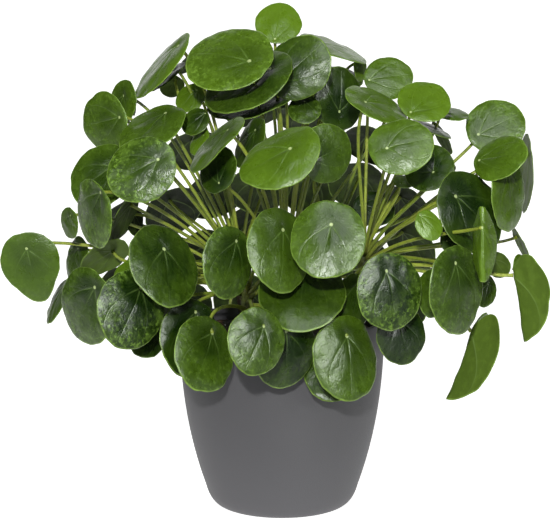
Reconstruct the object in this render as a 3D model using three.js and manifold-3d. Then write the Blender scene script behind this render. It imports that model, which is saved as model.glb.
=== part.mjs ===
// Potted chinese money plant: round peltate leaves on long thin stalks, carried by a few
// short woody stems that stand in soil in a plain tapered plastic pot.
// Millimetres, +Z up, -Y to the front. The origin is the middle of the pot's flat underside.

import * as THREE from 'three';
import { mergeVertices } from 'three/addons/utils/BufferGeometryUtils.js';
import Module from 'manifold-3d';

const wasm = await Module();
wasm.setup();

// Pot
const POT_HEIGHT = 169;
const RIM_RADIUS = 91.5;
const BASE_RADIUS = 49;
const CORNER_RADIUS = 69;
const CORNER_HEIGHT = 20;
const CORNER_PULL = 64;
const WALL_BULGE = [12.9, -6.5];
const WALL_THICKNESS = 3;
const RIM_ROUND = 1;
const FLOOR_THICKNESS = 4;
const POT_SIDES = 32;
const OUTSIDE_STEPS = { corner: 3, wall: 4 };
const INSIDE_STEPS = { corner: 2, wall: 3 };

// Soil
const CLEARANCE = 0.3;
const SOIL_EDGE_HEIGHT = 157;
const SOIL_MOUND = 5;
const SOIL_ROUGHNESS = 1.6;
const SOIL_RINGS = 4;
const SOIL_SIDES = 24;
const SOIL_SEED = 7;

// Stems
const STEM_RADIUS = 5.2;
const STEM_SIDES = 8;
const STEM_DEPTH_IN_SOIL = 22;
const STEM_STEPS = 4;
const STEM_UPRIGHT_SHARE = 0.4;
const HOLE_RADIUS = STEM_RADIUS + 0.8;
const HOLE_SIDES = 8;
const TIP_LENGTH = 34;
const TIP_RADIUS = 5.6;
const TIP_END_RADIUS = 3.6;
const TIP_POINT = 2;
const ROOT_SINK = 1.6;
const LOWEST_ROOT = 0.14;
const ROOT_SPREAD = 0.78;
const PATH_ABOVE_RIM = 26;
const PETIOLE_RISE = 0.35;
const PETIOLE_START_PULL = 0.36;
const PETIOLE_END_PULL = 0.22;
const CREASED_APPROACH = { square: 0.5, straight: 0.8 };
const PETIOLE_RADIUS = 1.9;
const PETIOLE_SIDES = 3;
const PETIOLE_STEPS = 4;
const BACK_PETIOLE_STEPS = 3;

// Blades
const BLADE_THICKNESS = 0.9;
const BLADE_RIM_POINTS = 12;
const BLADE_MID_POINTS = 6;
const FLAT_MIDDLE = [[0, 2, 4], [0, 1, 2], [2, 3, 4], [4, 5, 0]];
const CREASED_MIDDLE = [[0, 1, 2], [2, 3, 0], [3, 4, 0], [4, 5, 0]];
const BLADE_MID_RING = 0.5;
const BLADE_FULLNESS = 1.035;
const BLADE_LENGTHENING = 0.02;
const USUAL_TIP_POINT = 0.04;
const BLADE_TIP_SPREAD = 0.45;
const BLADE_NOTCH_SPREAD = 0.35;
const RIM_FLATS = 1.03;
const CREASED_FOLD = 30;
const CREASE_WIDTH = 0.1;
const NEAREST_HUB = 0.3;
const FURTHEST_HUB = 0.86;

// The place that the front view is read from
const EYE = new THREE.Vector3(0, -1500, 400);

// Each leafy stem: where it stands in the soil and where its crown is, x, y and z
const STEMS = {
  left: { foot: [-22, 2], crown: [-32, -8, 188] },
  front: { foot: [-20, -36], crown: [-30, -46, 173] },
  top: { foot: [8, 6], crown: [4, 14, 200] },
  right: { foot: [50, -10], crown: [72, -22, 208] },
  back_left: { foot: [-28, 40], crown: [-38, 52, 190] },
  back_right: { foot: [34, 44], crown: [42, 58, 194] },
};

// Leaves as the front view shows them, in millimetres on the upright plane through the
// pot's axis: middle x and z, depth behind that plane, half length of the long axis and
// of the short one, the way the upper face leans in degrees from +x, the hub from the
// middle in x and z, 1 for the upper face seen and -1 for the underside, the fold of
// each half about the midrib in degrees, less than 0 where the halves fold up, the bend
// along the midrib in degrees, how far a pointed tip stands out, and how far the rim is
// drawn in behind the hub
const FRONT_LEAVES = {
  top: [
    [-3, 433, 0, 21, 18.3, 90, -3, -15, 1, 14, 8],
    [-47, 403, -85, 39, 27.5, 102, 18, -4, 1, 12, 8],
    [-31, 384, -68, 41, 22.3, 113, 20, 8, 1, 10, 8],
    [13, 394, -56, 30, 28.0, 135, -14, -13, 1, 24, 6],
    [-28, 369, -42, 38, 17.0, 100, 22, 4, 1, 8, 6],
    [-82, 398, 5, 12, 5.4, 130, 5, 5, -1, 8, 8],
    [46, 412, -5, 31, 7.6, 72, -11, 2, 1, 6, 10],
    [70, 392, 15, 11, 5.4, 10, 0, 6, 1, 8, 8],
    [52, 386, 14, 20, 9.8, 80, -10, -2, 1, 8, 8],
    [20, 357, -46, 15, 11.6, 90, 0, 6, 1, 8, 8],
    [52, 365, -22, 27, 22.3, 0, -1, -11, 1, 12, 8],
    [41, 317, -120, 27, 23.2, 0, -13, -6, 1, 14, 8],
    [-3, 317, -145, 37, 25.0, 116, 10, 5, 1, 26, 6],
    [-60, 328, -120, 32, 8.9, 132, 12, 10, 1, 8, 8],
    [-30, 328, -85, 23, 10.7, 150, 6, 10, 1, 8, 8],
    [-58, 303, -100, 21, 16.1, 160, 2, -12, 1, 8, 8],
  ],
  left: [
    [-108, 397, -35, 35, 8.6, 136, 16, 15, 1, 10, 8],
    [-101, 386, -25, 18, 4.0, 127, 8, 6, 1, 6, 6],
    [-97, 377, 5, 11, 8.9, 90, 3, 5, -1, 8, 8],
    [-74, 328, -60, 13, 7.1, 150, 5, 5, 1, 8, 8],
    [-81, 367, -22, 14, 11.2, 120, 6, 6, 1, 10, 8],
    [-77, 346, -65, 13, 10.7, 120, 10, 7, 1, 10, 8],
    [-159, 345, -46, 27, 20.5, 187, 15, 4, 1, 12, 8],
    [-142, 362, -25, 20, 11.6, 170, 2, 6, 1, 10, 8],
    [-132, 365, -10, 14, 4.1, 11, -2, 6, -1, 6, 6],
    [-116, 342, -80, 32, 14.7, 112, 13, 11, 1, 8, 8],
    [-125, 304, -132, 31, 29.0, 120, 15, 8, 1, 14, 8],
    [-162, 298, -75, 30, 25.0, 140, 11, 8, 1, 8, 8],
    [-171, 263, -100, 31, 17.4, 187, 9, 19, 1, 10, 8],
    [-190, 255, -55, 14, 7.6, 187, 2, 7, 1, 6, 6],
    [-225, 220, -55, 27, 25.8, 250, -3, 12, 1, 8, 8, 0.5],
    [-159, 226, -65, 23, 12.9, 115, 8, 4, -1, 8, 8],
    [-185, 222, 0, 21, 9.8, 170, 3, 10, 1, 8, 8],
    [-202, 186, -20, 21, 5.8, 152, 6, 11, 1, 8, 6],
    [-142, 261, -65, 22, 7.1, 145, 7, 11, -1, 8, 8],
    [-132, 257, -25, 13, 8.0, 180, 0, 6, -1, 8, 8],
    [-177, 180, -80, 35, 24.0, 190, 9, 17, 1, 8, 8],
    [-133, 178, -130, 35, 29.0, 15, 7, 19, 1, 12, 8],
    [-103, 219, -125, 38, 27.2, 36, -2, 13, 1, 10, 8],
    [-137, 210, -100, 15, 11.6, 120, 6, 5, 1, 8, 8],
    [-80, 152, -104, 34, 25.9, 10, 3, 23, 1, 8, 8],
    [-121, 158, -85, 24, 16.1, 20, 4, 10, 1, 8, 8],
  ],
  front: [
    [-45, 220, -150, 32, 21.9, 8, 5, 19, 1, 12, 8],
    [1, 232, -140, 37, 27.2, 20, 0, 17, 1, 16, 8],
    [41, 242, -155, 35, 33.0, 90, 3, 12, 1, 16, 8],
    [18, 196, -120, 40, 31.2, 90, 3, 21, 1, 10, 8],
    [-21, 149, -165, 30, 25.0, 15, 5, 13, 1, 14, 8],
    [-67, 138, -120, 34, 25.0, 20, 5, 18, 1, 10, 8],
    [5, 138, -125, 33, 27.7, 335, -1, 19, 1, 12, 8],
    [61, 134, -128, 37, 29.5, 12, -2, 19, 1, 22, 6],
    [46, 122, -104, 27, 25.0, 90, 2, 15, 1, 8, 8],
  ],
  right: [
    [67, 186, -100, 23, 17.0, 10, 2, 16, 1, 8, 8],
    [84, 362, -80, 29, 12.6, 65, -10, 1, 1, 6, 8],
    [94, 385, -40, 21, 18.8, 90, -17, -3, 1, 12, 8],
    [126, 365, -70, 24, 18.8, 80, -12, -11, 1, 10, 8],
    [149, 354, -30, 16, 6.2, 85, -9, -1, 1, 8, 8],
    [133, 340, -50, 18, 3.2, 70, -10, 4, 1, 4, 6],
    [143, 332, -5, 16, 4.0, 35, -7, 11, -1, 6, 6],
    [105, 325, -125, 28, 25.4, 100, -12, -3, 1, 16, 8],
    [130, 305, -75, 23, 19.6, 120, 4, -4, 1, 8, 8],
    [82, 269, 10, 18, 16.1, 90, -12, 2, 1, 8, 8],
    [132, 254, -130, 14, 11.6, 45, -9, 8, 1, 18, 10],
    [109, 293, -65, 10, 6.2, 90, -4, -3, 1, 8, 8],
    [98, 194, -145, 34, 29.5, 5, -4, 18, 1, 10, 8],
    [108, 154, -115, 25, 22.3, 0, -4, 13, 1, 8, 8, 0.1],
    [136, 192, -85, 21, 12.5, 10, 2, 10, 1, 8, 8],
    [160, 196, -130, 38, 24.6, 5, -4, 23, 1, 12, 10, 0.1],
    [170, 266, -95, 38, 27.7, 25, -15, 13, 1, 8, 8],
    [157, 240, -75, 18, 14.3, 30, -10, -1, 1, 8, 8],
    [178.5, 236, -150, 29, 28.9, 180, 0, 15, 1, 68, 6, 0.14, -0.12],
    [192, 315, -85, 25, 16.5, 132, -17, -4, 1, 10, 8],
    [189, 342, -20, 26, 24.5, 90, -15, -8, 1, 10, 8],
    [204, 282, -72, 33, 15.2, 5, -3, 19, 1, 8, 8],
    [219, 300, 20, 34, 5.5, 2, 0, 16, -1, 6, 6],
    [215, 235, -20, 18, 3.4, 28, -5, 8, -1, 5, 6],
    [211, 192.5, -55, 40, 7.4, 10, -2.6, 15.8, -1, -36, 2, 0.06, 0.5],
    [166, 141.5, -50, 44, 8.0, 341, 5.3, 15.2, -1, -31, 2, 0.08, 0.55],
    [183, 194, -40, 14, 9.8, 0, 1, 6, 1, 8, 8],
    [193, 218, -35, 12, 10.7, 60, -4, 5, -1, 8, 8],
  ],
};

// Leaves of the back half, which the front view hides: x and z on the same upright plane,
// the depth behind it and the blade's radius. They face outwards and up from the rounded
// heap of leaves
const BACK_LEAVES = {
  top: [
    [-42, 402, 20, 30], [-8, 388, 62, 29], [34, 386, 48, 27], [72, 362, 55, 28],
    [104, 346, 15, 27],
  ],
  back_left: [
    [-24, 358, 108, 30], [-80, 322, 122, 29], [-20, 288, 150, 31], [-128, 322, 45, 28],
    [-60, 282, 165, 30], [-150, 256, 60, 28], [-25, 250, 185, 30], [-118, 218, 125, 29],
    [-70, 226, 175, 30], [-155, 190, 75, 28], [-36, 186, 165, 29], [-88, 178, 145, 29],
    [-120, 166, 95, 26], [-45, 150, 135, 27], [-97, 268, 112, 30],
  ],
  back_right: [
    [22, 350, 118, 29], [80, 326, 125, 29], [24, 288, 182, 31], [132, 318, 50, 28],
    [68, 290, 160, 31], [176, 280, 35, 27], [24, 240, 185, 30], [112, 270, 125, 27],
    [72, 222, 170, 30], [158, 205, 75, 28], [22, 178, 168, 29], [108, 186, 130, 29],
    [112, 158, 92, 24], [62, 150, 135, 27], [116, 238, 108, 28],
  ],
};
const BACK_WIDTH = 232;
const BACK_DEPTH = 190;
const BACK_HEIGHT = 205;
const BACK_CENTRE = 215;
const BACK_UPWARD = 0.55;
const BACK_SPIN = 0.6;
const BACK_SEED = 23;
const BACK_FORM = {
  share: 0.5,
  fold: 10,
  arch: 8,
  point: USUAL_TIP_POINT,
  notch: 0,
  stalkSteps: BACK_PETIOLE_STEPS,
};

const GREEN = new THREE.MeshStandardMaterial({ color: 0x3a6b1c, roughness: 0.35, metalness: 0 });
const WOOD = new THREE.MeshStandardMaterial({ color: 0x5c4632, roughness: 0.85, metalness: 0 });
const EARTH = new THREE.MeshStandardMaterial({ color: 0x2b221b, roughness: 0.95, metalness: 0 });
const PLASTIC = new THREE.MeshStandardMaterial({ color: 0x616063, roughness: 0.55, metalness: 0 });

const radians = THREE.MathUtils.degToRad;

// A small repeatable random draw from 0 to 1
const DRAW = { factor: 1664525, step: 1013904223, range: 4294967296 };

function seededDraw(seed) {
  let state = seed;
  return () => {
    state = (state * DRAW.factor + DRAW.step) % DRAW.range;
    return state / DRAW.range;
  };
}

function solidOf(geometry) {
  const bare = geometry.clone();
  bare.deleteAttribute('normal');
  bare.deleteAttribute('uv');
  const merged = mergeVertices(bare, 1e-4);
  return new wasm.Manifold(new wasm.Mesh({
    numProp: 3,
    vertProperties: new Float32Array(merged.attributes.position.array),
    triVerts: new Uint32Array(merged.index.array),
  }));
}

function geometryOf(solid) {
  const mesh = solid.getMesh();
  const geometry = new THREE.BufferGeometry();
  geometry.setAttribute('position', new THREE.BufferAttribute(mesh.vertProperties, 3));
  geometry.setIndex(new THREE.BufferAttribute(mesh.triVerts, 1));
  geometry.computeVertexNormals();
  return geometry;
}

function polygon(radius, sides) {
  const outline = new THREE.Shape();
  for (let k = 0; k < sides; k += 1) {
    const turn = (2 * Math.PI * k) / sides;
    const x = radius * Math.cos(turn);
    const y = radius * Math.sin(turn);
    if (k === 0) outline.moveTo(x, y);
    else outline.lineTo(x, y);
  }
  return outline;
}

function rod(path, radius, sides, steps) {
  return new THREE.ExtrudeGeometry(polygon(radius, sides), {
    steps,
    bevelEnabled: false,
    extrudePath: path,
  });
}

// Pot: one moulded wall with a rounded lower corner and a flat floor
function wallCurve(inset) {
  const foot = new THREE.Vector2(CORNER_RADIUS, CORNER_HEIGHT);
  const top = new THREE.Vector2(RIM_RADIUS, POT_HEIGHT);
  const middle = foot.clone().add(top).multiplyScalar(0.5);
  middle.add(new THREE.Vector2(...WALL_BULGE));
  const shift = new THREE.Vector2(-inset, 0);
  return new THREE.QuadraticBezierCurve(foot.add(shift), middle.add(shift), top.add(shift));
}

function cornerCurve(inset, floor) {
  return new THREE.QuadraticBezierCurve(
    new THREE.Vector2(BASE_RADIUS - inset, floor),
    new THREE.Vector2(CORNER_PULL - inset, floor),
    new THREE.Vector2(CORNER_RADIUS - inset, CORNER_HEIGHT),
  );
}

function insideProfile() {
  const corner = cornerCurve(WALL_THICKNESS, FLOOR_THICKNESS).getPoints(INSIDE_STEPS.corner);
  return [...corner, ...wallCurve(WALL_THICKNESS).getPoints(INSIDE_STEPS.wall).slice(1)];
}

function potGeometry() {
  const outside = cornerCurve(0, 0).getPoints(OUTSIDE_STEPS.corner);
  outside.push(...wallCurve(0).getPoints(OUTSIDE_STEPS.wall).slice(1));
  const rimTop = outside.pop();
  outside.push(new THREE.Vector2(rimTop.x, rimTop.y - RIM_ROUND));
  outside.push(new THREE.Vector2(rimTop.x - RIM_ROUND, rimTop.y));
  const profile = [
    new THREE.Vector2(0, 0),
    ...outside,
    ...insideProfile().reverse(),
    new THREE.Vector2(0, FLOOR_THICKNESS),
  ];
  return new THREE.LatheGeometry(profile, POT_SIDES);
}

// Soil: fills the pot to just under the rim, with a low rough mound and a plain hole for
// each stem. Its sides follow the facets of the pot's inside
function soilProfile() {
  const inside = insideProfile();
  const lower = inside.filter((point) => point.y < SOIL_EDGE_HEIGHT);
  const below = lower[lower.length - 1];
  const above = inside[lower.length];
  const share = (SOIL_EDGE_HEIGHT - below.y) / (above.y - below.y);
  const flatOfFacet = Math.cos(Math.PI / POT_SIDES);
  return [...lower, below.clone().lerp(above, share)].map((point) => (
    new THREE.Vector2(point.x * flatOfFacet - CLEARANCE, point.y + CLEARANCE)
  ));
}

function soilGeometry() {
  const draw = seededDraw(SOIL_SEED);
  const points = [];
  const triangles = [];
  const levels = soilProfile();
  points.push(0, 0, levels[0].y);
  levels.forEach(({ x: radius, y: height }) => {
    for (let k = 0; k < SOIL_SIDES; k += 1) {
      const turn = (2 * Math.PI * k) / SOIL_SIDES;
      points.push(radius * Math.cos(turn), radius * Math.sin(turn), height);
    }
  });
  const edge = levels[levels.length - 1].x;
  for (let ring = 1; ring < SOIL_RINGS; ring += 1) {
    const share = 1 - ring / SOIL_RINGS;
    for (let k = 0; k < SOIL_SIDES; k += 1) {
      const turn = (2 * Math.PI * (k + 0.5 * ring)) / SOIL_SIDES;
      const rise = SOIL_MOUND * (1 - share * share) + SOIL_ROUGHNESS * (draw() - 0.5) * 2;
      const out = edge * share;
      points.push(out * Math.cos(turn), out * Math.sin(turn), SOIL_EDGE_HEIGHT + rise);
    }
  }
  points.push(0, 0, SOIL_EDGE_HEIGHT + SOIL_MOUND);
  const rings = levels.length + SOIL_RINGS - 1;
  const at = (ring, k) => 1 + ring * SOIL_SIDES + (k % SOIL_SIDES);
  for (let k = 0; k < SOIL_SIDES; k += 1) {
    triangles.push(0, at(0, k + 1), at(0, k));
    triangles.push(1 + rings * SOIL_SIDES, at(rings - 1, k), at(rings - 1, k + 1));
    for (let ring = 0; ring < rings - 1; ring += 1) {
      triangles.push(at(ring, k), at(ring, k + 1), at(ring + 1, k));
      triangles.push(at(ring, k + 1), at(ring + 1, k + 1), at(ring + 1, k));
    }
  }
  const geometry = new THREE.BufferGeometry();
  geometry.setAttribute('position', new THREE.Float32BufferAttribute(points, 3));
  geometry.setIndex(triangles);
  return geometry;
}

// Stems: woody below, standing in their holes, with a green growing tip on top. Each one
// leaves the soil upright and ends upright
function stemPath(stem, bottom, top) {
  const foot = new THREE.Vector3(...stem.foot, bottom);
  const crown = new THREE.Vector3(stem.crown[0], stem.crown[1], top);
  const upright = new THREE.Vector3(0, 0, (top - bottom) * STEM_UPRIGHT_SHARE);
  return new THREE.CubicBezierCurve3(
    foot,
    foot.clone().add(upright),
    crown.clone().sub(upright),
    crown,
  );
}

// Points that the front view shows at x and z on the upright plane, set nearer or further
// along the line of sight
function nearnessAt(depth) {
  return (depth - EYE.y) / -EYE.y;
}

function onSightLine(x, z, nearness) {
  return new THREE.Vector3(x, 0, z).sub(EYE).multiplyScalar(nearness).add(EYE);
}

// The directions of the front view at a point: towards the eye, to the right and up
function sightFrame(point) {
  const toEye = EYE.clone().sub(point).normalize();
  const right = new THREE.Vector3(1, 0, 0).addScaledVector(toEye, -toEye.x).normalize();
  const up = toEye.clone().cross(right);
  return { toEye, right, up };
}

// Where a blade's hub is, which way its upper face, tip and side point, and its form
function bladeFrame(row) {
  const [x, z, depth, long, short, lean, hubX, hubZ, face, fold, arch, corner, notch = 0] = row;
  const point = corner ?? USUAL_TIP_POINT;
  const nearness = nearnessAt(depth);
  const middle = onSightLine(x, z, nearness);
  const { toEye, right, up } = sightFrame(middle);
  const openness = short / long;
  const tilt = Math.sqrt(1 - openness * openness);
  const normal = right.clone().multiplyScalar(tilt * Math.cos(radians(lean)));
  normal.addScaledVector(up, tilt * Math.sin(radians(lean)));
  normal.addScaledVector(toEye, face * openness);
  const offset = right.clone().multiplyScalar(hubX).addScaledVector(up, hubZ);
  offset.addScaledVector(toEye, -offset.dot(normal) / toEye.dot(normal));
  const radius = long * nearness;
  const away = (offset.length() * nearness) / radius;
  const share = THREE.MathUtils.clamp(away, NEAREST_HUB, FURTHEST_HUB);
  const tip = offset.normalize().negate();
  const hub = middle.clone().addScaledVector(tip, -share * radius);
  const side = normal.clone().cross(tip);
  const form = { share, fold, arch, point, notch, stalkSteps: PETIOLE_STEPS };
  return { hub, normal, tip, side, radius, ...form };
}

function backFrame([x, z, depth, radius], draw) {
  const middle = onSightLine(x, z, nearnessAt(depth));
  const normal = new THREE.Vector3(
    middle.x / (BACK_WIDTH * BACK_WIDTH),
    middle.y / (BACK_DEPTH * BACK_DEPTH),
    (middle.z - BACK_CENTRE) / (BACK_HEIGHT * BACK_HEIGHT),
  ).normalize();
  normal.z += BACK_UPWARD;
  normal.normalize();
  const spin = (draw() - 0.5) * 2 * BACK_SPIN;
  const downhill = new THREE.Vector3(0, 0, -1).addScaledVector(normal, normal.z).normalize();
  const tip = downhill.applyAxisAngle(normal, spin);
  const hub = middle.clone().addScaledVector(tip, -BACK_FORM.share * radius);
  const side = normal.clone().cross(tip);
  return { hub, normal, tip, side, radius, ...BACK_FORM };
}

function isCreased(blade) {
  return Math.abs(blade.fold) > CREASED_FOLD;
}

// A point of the blade: along and across from the hub in its flat outline, then bent
// about the midrib and along it
function bentPoint(blade, along, across, lift) {
  const { hub, normal, tip, side, radius } = blade;
  const crease = radius * (isCreased(blade) ? CREASE_WIDTH : 1);
  const reach = Math.min(Math.abs(across), crease);
  const turn = (radians(blade.fold) * reach) / crease;
  const curl = radians(blade.fold) / crease;
  const beyond = Math.abs(across) - reach;
  const sideways = Math.sign(across) * (Math.sin(turn) / curl + beyond * Math.cos(turn));
  const sag = (1 - Math.cos(turn)) / curl + beyond * Math.sin(turn);
  const bend = (radians(blade.arch) * along) / radius;
  const stretch = radius / radians(blade.arch);
  const forward = Math.sin(bend) * stretch;
  const droop = (1 - Math.cos(bend)) * stretch;
  const point = hub.clone().addScaledVector(tip, forward).addScaledVector(side, sideways);
  point.addScaledVector(normal, -sag - droop);
  const facing = normal.clone().multiplyScalar(Math.cos(turn) * Math.cos(bend));
  facing.addScaledVector(side, Math.sign(across) * Math.sin(turn));
  facing.addScaledVector(tip, Math.sin(bend)).normalize();
  return point.addScaledVector(facing, lift);
}

function rimRadius(angle, blade) {
  const turned = Math.atan2(Math.sin(angle), Math.cos(angle));
  const fromBase = Math.PI - Math.abs(turned);
  const corner = blade.point * Math.exp(-((turned / BLADE_TIP_SPREAD) ** 2));
  const inlet = blade.notch * Math.exp(-((fromBase / BLADE_NOTCH_SPREAD) ** 2));
  return BLADE_FULLNESS + BLADE_LENGTHENING * (Math.cos(2 * turned) - 1) + corner - inlet;
}

// A point on the rim, at part of a turn from the tip, or on a ring drawn in to the hub
function ringPoint(blade, part, share, lift) {
  const angle = 2 * Math.PI * part;
  const reach = blade.radius * rimRadius(angle, blade) * RIM_FLATS;
  const along = share * (reach * Math.cos(angle) + blade.share * blade.radius);
  return bentPoint(blade, along, share * reach * Math.sin(angle), lift);
}

function bladeGeometry(blade) {
  const points = [];
  const triangles = [];
  const layer = (lift) => {
    const first = points.length / 3;
    for (let k = 0; k < BLADE_MID_POINTS; k += 1) {
      points.push(...ringPoint(blade, k / BLADE_MID_POINTS, BLADE_MID_RING, lift));
    }
    for (let k = 0; k < BLADE_RIM_POINTS; k += 1) {
      points.push(...ringPoint(blade, k / BLADE_RIM_POINTS, 1, lift));
    }
    return first;
  };
  const middle = isCreased(blade) ? CREASED_MIDDLE : FLAT_MIDDLE;
  const upper = layer(BLADE_THICKNESS / 2);
  const lower = layer(-BLADE_THICKNESS / 2);
  const mid = (start, k) => start + (k % BLADE_MID_POINTS);
  const rim = (start, k) => start + BLADE_MID_POINTS + (k % BLADE_RIM_POINTS);
  const face = (start, flip) => {
    const add = (a, b, c) => triangles.push(...(flip ? [a, c, b] : [a, b, c]));
    middle.forEach(([a, b, c]) => add(mid(start, a), mid(start, b), mid(start, c)));
    for (let k = 0; k < BLADE_MID_POINTS; k += 1) {
      add(mid(start, k), rim(start, 2 * k), rim(start, 2 * k + 1));
      add(mid(start, k), rim(start, 2 * k + 1), mid(start, k + 1));
      add(mid(start, k + 1), rim(start, 2 * k + 1), rim(start, 2 * k + 2));
    }
  };
  face(upper, false);
  face(lower, true);
  for (let k = 0; k < BLADE_RIM_POINTS; k += 1) {
    triangles.push(rim(upper, k), rim(lower, k), rim(lower, k + 1));
    triangles.push(rim(upper, k), rim(lower, k + 1), rim(upper, k + 1));
  }
  const geometry = new THREE.BufferGeometry();
  geometry.setAttribute('position', new THREE.Float32BufferAttribute(points, 3));
  geometry.setIndex(triangles);
  return geometry;
}

// The plane that a stalk's end lies in, inside the thickness of its blade
function stalkSeat(blade) {
  if (isCreased(blade)) {
    const ridge = bentPoint(blade, 0, 0, -BLADE_THICKNESS / 2);
    return new THREE.Plane().setFromNormalAndCoplanarPoint(blade.normal, ridge);
  }
  return new THREE.Plane().setFromCoplanarPoints(
    ringPoint(blade, 0, BLADE_MID_RING, 0),
    ringPoint(blade, 1 / 3, BLADE_MID_RING, 0),
    ringPoint(blade, 2 / 3, BLADE_MID_RING, 0),
  );
}

// A leaf stalk: from the growing tip of its stem, in one long arch, to the blade's hub.
// rank is its place up the tip, from 0 to 1
function petioleCurve(stem, blade, rank) {
  const [x, y, z] = stem.crown;
  const outwards = Math.atan2(blade.hub.y - y, blade.hub.x - x);
  const thickness = TIP_RADIUS + (TIP_END_RADIUS - TIP_RADIUS) * Math.max(0, 2 * rank - 1);
  const start = new THREE.Vector3(
    x + (thickness - ROOT_SINK) * Math.cos(outwards),
    y + (thickness - ROOT_SINK) * Math.sin(outwards),
    z + TIP_LENGTH * (LOWEST_ROOT + ROOT_SPREAD * rank),
  );
  const seat = stalkSeat(blade);
  const end = seat.projectPoint(blade.hub, new THREE.Vector3());
  const span = end.clone().sub(start);
  const length = span.length();
  const leave = span.clone().normalize().add(new THREE.Vector3(0, 0, PETIOLE_RISE)).normalize();
  const first = start.clone().addScaledVector(leave, PETIOLE_START_PULL * length);
  const arrive = seat.normal.clone();
  if (isCreased(blade)) {
    arrive.multiplyScalar(CREASED_APPROACH.square);
    arrive.addScaledVector(span, CREASED_APPROACH.straight / length).normalize();
  }
  const second = end.clone().addScaledVector(arrive, -PETIOLE_END_PULL * length);
  first.z = Math.max(first.z, POT_HEIGHT + PATH_ABOVE_RIM);
  second.z = Math.max(second.z, POT_HEIGHT + PATH_ABOVE_RIM);
  return new THREE.CubicBezierCurve3(start, first, second, end);
}

function petioleGeometry(stem, blade, rank) {
  return rod(petioleCurve(stem, blade, rank), PETIOLE_RADIUS, PETIOLE_SIDES, blade.stalkSteps);
}

function tipGeometry(stem) {
  const [x, y, z] = stem.crown;
  const profile = [
    new THREE.Vector2(0, 0),
    new THREE.Vector2(TIP_RADIUS, 0),
    new THREE.Vector2(TIP_RADIUS, TIP_LENGTH * 0.5),
    new THREE.Vector2(TIP_END_RADIUS, TIP_LENGTH),
    new THREE.Vector2(0, TIP_LENGTH + TIP_POINT),
  ];
  const geometry = new THREE.LatheGeometry(profile, STEM_SIDES);
  geometry.rotateX(Math.PI / 2);
  geometry.translate(x, y, z);
  return geometry;
}

const leaves = [];
const spinDraw = seededDraw(BACK_SEED);
Object.entries(FRONT_LEAVES).forEach(([name, rows]) => {
  rows.forEach((row) => leaves.push({ stem: name, blade: bladeFrame(row) }));
});
Object.entries(BACK_LEAVES).forEach(([name, rows]) => {
  rows.forEach((row) => leaves.push({ stem: name, blade: backFrame(row, spinDraw) }));
});

// The lowest leaves spring lowest on their stem's tip
Object.entries(STEMS).forEach(([name, stem]) => {
  const own = leaves.filter((leaf) => leaf.stem === name);
  const climb = ({ blade: { hub } }) => {
    const away = Math.hypot(hub.x - stem.crown[0], hub.y - stem.crown[1]);
    return Math.atan2(hub.z - stem.crown[2], away);
  };
  own.sort((a, b) => climb(a) - climb(b));
  own.forEach((leaf, place) => {
    leaf.rank = place / (own.length - 1);
  });
});

const plant = new THREE.Group();

function addPiece(name, geometry, material) {
  const mesh = new THREE.Mesh(geometry, material);
  mesh.name = name;
  plant.add(mesh);
}

const potShape = potGeometry();
potShape.rotateX(Math.PI / 2);
addPiece('pot', potShape, PLASTIC);

let soil = solidOf(soilGeometry());
Object.entries(STEMS).forEach(([name, stem]) => {
  const bottom = SOIL_EDGE_HEIGHT - STEM_DEPTH_IN_SOIL;
  const top = stem.crown[2] - CLEARANCE;
  const holePath = stemPath(stem, bottom - CLEARANCE, top);
  soil = soil.subtract(solidOf(rod(holePath, HOLE_RADIUS, HOLE_SIDES, STEM_STEPS)));
  const path = stemPath(stem, bottom, top);
  addPiece(`stem_${name}`, rod(path, STEM_RADIUS, STEM_SIDES, STEM_STEPS), WOOD);
});
addPiece('soil', geometryOf(soil), EARTH);

Object.entries(STEMS).forEach(([name, stem]) => {
  const pieces = [solidOf(tipGeometry(stem))];
  leaves.filter((leaf) => leaf.stem === name).forEach(({ blade, rank }) => {
    pieces.push(solidOf(bladeGeometry(blade)), solidOf(petioleGeometry(stem, blade, rank)));
  });
  addPiece(`foliage_${name}`, geometryOf(wasm.Manifold.union(pieces)), GREEN);
});

export default plant;
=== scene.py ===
# A potted chinese money plant: six leafy stems with round shining leaves on long stalks,
# growing in soil in a plain dark grey plastic pot. The room is laid out in metres and the
# plant and its pot in millimetres, with +Z up and -Y to the front.

import math
from functools import partial
from types import SimpleNamespace

import bmesh
import bpy
import numpy as np
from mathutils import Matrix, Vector


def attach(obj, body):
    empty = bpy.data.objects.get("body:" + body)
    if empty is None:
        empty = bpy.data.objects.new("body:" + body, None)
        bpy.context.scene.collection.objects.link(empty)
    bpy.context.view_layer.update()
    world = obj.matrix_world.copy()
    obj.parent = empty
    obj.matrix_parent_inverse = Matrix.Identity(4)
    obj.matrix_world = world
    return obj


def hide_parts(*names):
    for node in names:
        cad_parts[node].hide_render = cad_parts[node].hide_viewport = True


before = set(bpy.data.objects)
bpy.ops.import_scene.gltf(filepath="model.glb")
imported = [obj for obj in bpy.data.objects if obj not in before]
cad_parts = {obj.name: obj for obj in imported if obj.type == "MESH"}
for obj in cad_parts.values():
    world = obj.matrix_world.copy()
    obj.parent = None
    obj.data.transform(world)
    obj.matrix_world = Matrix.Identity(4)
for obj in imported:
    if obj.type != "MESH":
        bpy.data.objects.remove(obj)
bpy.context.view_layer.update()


# The room: a white light-table sweep that glows softly under and behind the plant, a small
# lamp low in front for the leaves' shadow on the pot, a softbox high in front, three panels
# for the gleam on the leaves, and the camera, looking slightly down on the rim.
VIEW_FROM = (0, -1.5, 0.4)
VIEW_TO = (0, 0, 0.222)
FILM_WIDTH = 36
FOCAL_LENGTH = 110.75
PICTURE_WIDTH = 550
POT_RIGHT_OF_MIDDLE = 6.9
LIT_PLACE = (0, 0, 0.2)
SOFTBOX_AIM = (0, 0, 0.25)

scene = bpy.context.scene
scene.view_settings.view_transform = "Standard"


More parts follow.
